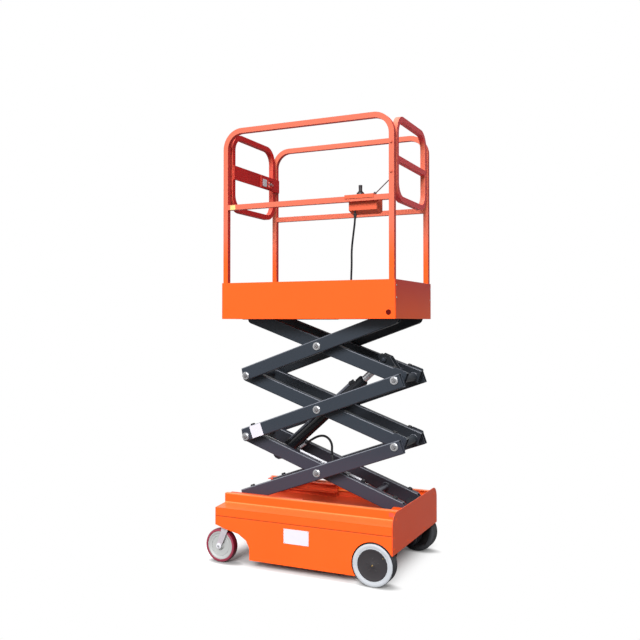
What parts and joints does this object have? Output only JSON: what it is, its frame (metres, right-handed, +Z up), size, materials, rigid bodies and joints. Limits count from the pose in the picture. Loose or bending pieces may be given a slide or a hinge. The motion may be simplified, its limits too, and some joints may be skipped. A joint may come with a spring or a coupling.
{
  "type": "scissor lift",
  "caption": "Compact electric scissor lift with crossed box-section arms, a guard-railed platform with a swing gate, a lift cylinder, drive wheels and swivel casters",
  "frame": {"origin": "centre of the footprint, on the floor the wheels stand on", "axes": "+X towards the drive wheel end, +Y to the machine's left seen from above with +X forward, +Z up"},
  "size_m": [1.172, 0.814, 2.531],
  "materials": {
    "orange_paint": "smooth gloss orange paint",
    "arm_paint": "satin dark grey paint",
    "zinc": "zinc plated",
    "cylinder_paint": "gloss black paint",
    "chrome_rod": "polished chrome",
    "tyre_grey": "non-marking grey rubber",
    "wheel_disc": "dark disc",
    "caster_rubber": "dark red caster tread",
    "caster_plastic": "pale grey plastic",
    "box_black": "textured black plastic",
    "hose_rubber": "smooth black rubber",
    "deck_steel": "chequered steel"
  },
  "bodies": {
    "chassis": {"chassis_sides": "orange_paint", "chassis_tray": "orange_paint", "chassis_floor": "orange_paint", "end_panels": "orange_paint", "base_channels": "orange_paint", "pivot_brackets": "orange_paint", "drive_motors": "arm_paint", "caster_plates": "zinc"},
    "inner_1": {"inner_arm_1": "arm_paint", "arm_pins_1": "zinc", "cylinder_foot_bracket": "arm_paint", "hydraulic_pipe": "zinc", "hydraulic_hose": "hose_rubber"},
    "outer_1": {"outer_arm_1": "arm_paint", "base_rollers": "zinc"},
    "inner_2": {"inner_arm_2": "arm_paint", "arm_pins_2": "zinc"},
    "outer_2": {"outer_arm_2": "arm_paint"},
    "inner_3": {"inner_arm_3": "arm_paint", "arm_pins_3": "zinc", "deck_rollers": "zinc", "cylinder_eye_bracket": "arm_paint"},
    "outer_3": {"outer_arm_3": "arm_paint"},
    "platform": {"platform_deck": "deck_steel", "toe_board": "orange_paint", "deck_underframe": "orange_paint", "guard_rails": "orange_paint", "end_loop": "orange_paint", "control_box": "orange_paint", "joystick": "box_black", "control_cable": "hose_rubber"},
    "gate": {"gate_loop": "orange_paint", "gate_plate": "orange_paint"},
    "barrel": {"cylinder_barrel": "cylinder_paint"},
    "rod": {"cylinder_rod": "chrome_rod"},
    "drive_wheel_right": {"drive_tyre_right": "tyre_grey", "drive_hub_right": "wheel_disc"},
    "caster_right": {"caster_fork_right": "zinc"},
    "caster_wheel_right": {"caster_tyre_right": "caster_rubber", "caster_hub_right": "caster_plastic"},
    "drive_wheel_left": {"drive_tyre_left": "tyre_grey", "drive_hub_left": "wheel_disc"},
    "caster_left": {"caster_fork_left": "zinc"},
    "caster_wheel_left": {"caster_tyre_left": "caster_rubber", "caster_hub_left": "caster_plastic"}
  },
  "joints": [
    {"name": "lift", "type": "hinge", "parent": "chassis", "child": "inner_1", "pos_m": [0.528, 0, 0.3527], "axis": [0, 1, 0], "range_deg": [-13.2, 26.8]},
    {"name": "cross_1", "type": "hinge", "parent": "inner_1", "child": "outer_1", "pos_m": [0.06177, 0, 0.53335], "axis": [0, -1, 0], "range_deg": [-26.9, 54.1]},
    {"name": "knee_12", "type": "hinge", "parent": "outer_1", "child": "inner_2", "pos_m": [0.528, 0, 0.714], "axis": [0, 1, 0], "range_deg": [-26.9, 54.1]},
    {"name": "cross_2", "type": "hinge", "parent": "inner_2", "child": "outer_2", "pos_m": [0.06177, 0, 0.89465], "axis": [0, -1, 0], "range_deg": [-26.9, 54.1]},
    {"name": "knee_23", "type": "hinge", "parent": "outer_2", "child": "inner_3", "pos_m": [0.528, 0, 1.0753], "axis": [0, 1, 0], "range_deg": [-26.9, 54.1]},
    {"name": "cross_3", "type": "hinge", "parent": "inner_3", "child": "outer_3", "pos_m": [0.06177, 0, 1.25595], "axis": [0, -1, 0], "range_deg": [-26.9, 54.1]},
    {"name": "platform_level", "type": "hinge", "parent": "outer_3", "child": "platform", "pos_m": [0.528, 0, 1.4366], "axis": [0, 1, 0], "range_deg": [-13.7, 27.3]},
    {"name": "cylinder_swing", "type": "hinge", "parent": "inner_1", "child": "barrel", "pos_m": [-0.23843, 0, 0.61106], "axis": [0, -1, 0], "range_deg": [-26.77, 53.83], "deforming": ["hydraulic_hose"]},
    {"name": "cylinder_stroke", "type": "slide", "parent": "barrel", "child": "rod", "axis": [0.7475, 0, 0.6642], "range_m": [-0.1535, 0.3085]},
    {"name": "gate_swing", "type": "hinge", "parent": "platform", "child": "gate", "pos_m": [-0.48305, -0.2778, 2.29], "axis": [0, 0, -1], "range_deg": [0, 70]},
    {"name": "drive_right", "type": "hinge", "parent": "chassis", "child": "drive_wheel_right", "pos_m": [0.471, -0.367, 0.115], "axis": [0, 1, 0], "continuous": true},
    {"name": "drive_left", "type": "hinge", "parent": "chassis", "child": "drive_wheel_left", "pos_m": [0.471, 0.367, 0.115], "axis": [0, 1, 0], "continuous": true},
    {"name": "swivel_right", "type": "hinge", "parent": "chassis", "child": "caster_right", "pos_m": [-0.44905, -0.347, 0.2], "axis": [0, 0, 1], "continuous": true},
    {"name": "caster_roll_right", "type": "hinge", "parent": "caster_right", "child": "caster_wheel_right", "pos_m": [-0.48905, -0.347, 0.097], "axis": [0, 1, 0], "continuous": true},
    {"name": "swivel_left", "type": "hinge", "parent": "chassis", "child": "caster_left", "pos_m": [-0.44905, 0.347, 0.2], "axis": [0, 0, 1], "continuous": true},
    {"name": "caster_roll_left", "type": "hinge", "parent": "caster_left", "child": "caster_wheel_left", "pos_m": [-0.48905, 0.347, 0.097], "axis": [0, 1, 0], "continuous": true}
  ],
  "couplings": [
    {"joint": "cross_1", "follows": "lift", "ratio": 2},
    {"joint": "knee_12", "follows": "lift", "ratio": 2},
    {"joint": "cross_2", "follows": "lift", "ratio": 2},
    {"joint": "knee_23", "follows": "lift", "ratio": 2},
    {"joint": "cross_3", "follows": "lift", "ratio": 2},
    {"joint": "platform_level", "follows": "lift", "ratio": 1},
    {"joint": "cylinder_swing", "follows": "lift", "ratio": 1.99},
    {"joint": "cylinder_stroke", "follows": "lift", "m_per_rad": 0.65317}
  ]
}
